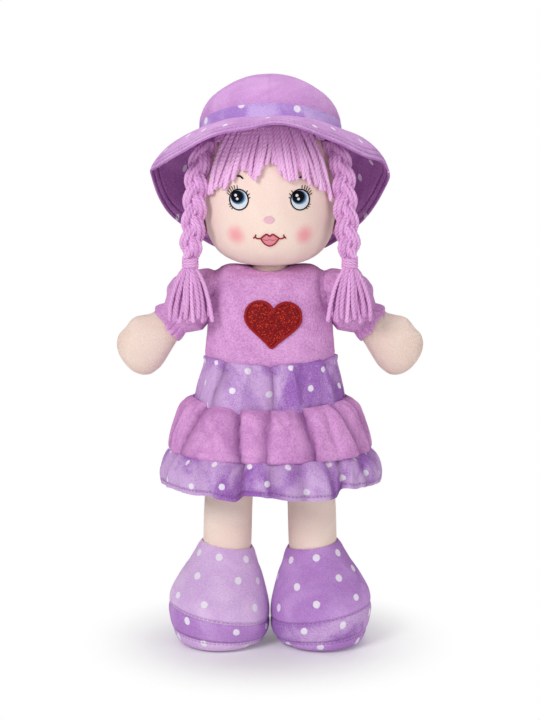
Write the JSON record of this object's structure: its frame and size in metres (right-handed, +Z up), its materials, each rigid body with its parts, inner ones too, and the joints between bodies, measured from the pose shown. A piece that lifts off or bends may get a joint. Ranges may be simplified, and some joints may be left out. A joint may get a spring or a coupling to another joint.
{
  "type": "rag doll",
  "caption": "Stuffed cloth rag doll with yarn plaits, wide-brimmed soft hat, heart bodice, tiered gathered skirt and big soft shoes.",
  "frame": {"origin": "middle of the footprint box, on the floor under the soles", "axes": "+Z up, -Y is the way the doll faces, +X is the doll's own left side"},
  "size_m": [0.219, 0.148, 0.3992],
  "materials": {
    "plush": "short plush",
    "skin_cloth": "matte velour",
    "filling": "matte fibre",
    "heart_cloth": "glitter cloth",
    "heart_stitching": "satin stitch",
    "dotted_cloth": "velour with lighter dots",
    "plain_tier_cloth": "short plush",
    "eye_stitching": "satin stitch",
    "pink_stitching": "satin stitch",
    "hat_cloth": "short plush",
    "yarn": "twisted yarn"
  },
  "bodies": {
    "torso": {"bodice_front": "plush", "bodice_back": "plush", "hip_panel": "skin_cloth", "body_filling": "filling", "heart_panel": "heart_cloth", "heart_border": "heart_stitching", "skirt_upper_tier": "dotted_cloth", "skirt_middle_tier": "plain_tier_cloth", "skirt_hem_tier": "dotted_cloth"},
    "neck": {"neck": "skin_cloth"},
    "head": {"head_skin": "skin_cloth", "head_filling": "filling", "left_eye": "eye_stitching", "right_eye": "eye_stitching", "nose": "pink_stitching", "lips": "pink_stitching", "hair_cap": "yarn", "fringe": "yarn"},
    "hat": {"hat_crown_left": "hat_cloth", "hat_crown_right": "hat_cloth", "hat_band": "dotted_cloth", "hat_brim": "dotted_cloth", "hat_brim_lining": "dotted_cloth"},
    "left_plait": {"left_plait": "yarn", "left_plait_tie": "yarn", "left_tassel": "yarn"},
    "left_shoulder": {"left_shoulder_knot": "filling"},
    "left_arm": {"left_sleeve": "plush", "left_arm_skin": "skin_cloth", "left_arm_filling": "filling", "left_cuff": "plush"},
    "left_leg": {"left_leg_skin": "skin_cloth", "left_leg_filling": "filling", "left_shoe_upper": "dotted_cloth", "left_shoe_band": "dotted_cloth", "left_shoe_sole": "dotted_cloth"},
    "right_plait": {"right_plait": "yarn", "right_plait_tie": "yarn", "right_tassel": "yarn"},
    "right_shoulder": {"right_shoulder_knot": "filling"},
    "right_arm": {"right_sleeve": "plush", "right_arm_skin": "skin_cloth", "right_arm_filling": "filling", "right_cuff": "plush"},
    "right_leg": {"right_leg_skin": "skin_cloth", "right_leg_filling": "filling", "right_shoe_upper": "dotted_cloth", "right_shoe_band": "dotted_cloth", "right_shoe_sole": "dotted_cloth"}
  },
  "joints": [
    {"name": "head_turn", "type": "hinge", "parent": "torso", "child": "neck", "pos_m": [0, 0.006, 0.266], "axis": [0, 0, 1], "range_deg": [-15, 15], "stiffness_Nm_per_rad": 0.4, "deforming": ["left_plait", "left_plait_tie", "left_tassel", "right_plait", "right_plait_tie", "right_tassel"]},
    {"name": "head_nod", "type": "hinge", "parent": "neck", "child": "head", "pos_m": [0, 0.006, 0.266], "axis": [1, 0, 0], "range_deg": [-14, 14], "stiffness_Nm_per_rad": 0.6, "deforming": ["left_plait", "left_plait_tie", "left_tassel", "right_plait", "right_plait_tie", "right_tassel"]},
    {"name": "hat_lift", "type": "slide", "parent": "head", "child": "hat", "axis": [0, 0.3746, 0.9272], "range_m": [0, 0.12]},
    {"name": "left_plait_swing", "type": "hinge", "parent": "head", "child": "left_plait", "pos_m": [0.0414, -0.0129, 0.354], "axis": [-1, 0, 0], "range_deg": [0, 60], "deforming": ["left_plait", "left_plait_tie", "left_tassel"]},
    {"name": "left_arm_raise", "type": "hinge", "parent": "torso", "child": "left_shoulder", "pos_m": [0.0425, 0.006, 0.248], "axis": [0, -1, 0], "range_deg": [-10, 70], "stiffness_Nm_per_rad": 0.3, "deforming": ["left_plait", "left_plait_tie", "left_tassel"]},
    {"name": "left_arm_swing", "type": "hinge", "parent": "left_shoulder", "child": "left_arm", "pos_m": [0.0425, 0.006, 0.248], "axis": [-0.6018, 0, -0.7986], "range_deg": [-25, 35], "stiffness_Nm_per_rad": 0.3, "deforming": ["left_plait", "left_plait_tie", "left_tassel"]},
    {"name": "left_hip_swing", "type": "hinge", "parent": "torso", "child": "left_leg", "pos_m": [0.0275, 0.006, 0.148], "axis": [-1, 0, 0], "range_deg": [-25, 90], "stiffness_Nm_per_rad": 0.5, "deforming": ["skirt_middle_tier", "skirt_hem_tier"]},
    {"name": "right_plait_swing", "type": "hinge", "parent": "head", "child": "right_plait", "pos_m": [-0.0414, -0.0129, 0.354], "axis": [-1, 0, 0], "range_deg": [0, 60], "deforming": ["right_plait", "right_plait_tie", "right_tassel"]},
    {"name": "right_arm_raise", "type": "hinge", "parent": "torso", "child": "right_shoulder", "pos_m": [-0.0425, 0.006, 0.248], "axis": [0, 1, 0], "range_deg": [-10, 70], "stiffness_Nm_per_rad": 0.3, "deforming": ["right_plait", "right_plait_tie", "right_tassel"]},
    {"name": "right_arm_swing", "type": "hinge", "parent": "right_shoulder", "child": "right_arm", "pos_m": [-0.0425, 0.006, 0.248], "axis": [-0.6018, 0, 0.7986], "range_deg": [-25, 35], "stiffness_Nm_per_rad": 0.3, "deforming": ["right_plait", "right_plait_tie", "right_tassel"]},
    {"name": "right_hip_swing", "type": "hinge", "parent": "torso", "child": "right_leg", "pos_m": [-0.0275, 0.006, 0.148], "axis": [-1, 0, 0], "range_deg": [-25, 90], "stiffness_Nm_per_rad": 0.5, "deforming": ["skirt_middle_tier", "skirt_hem_tier"]}
  ]
}
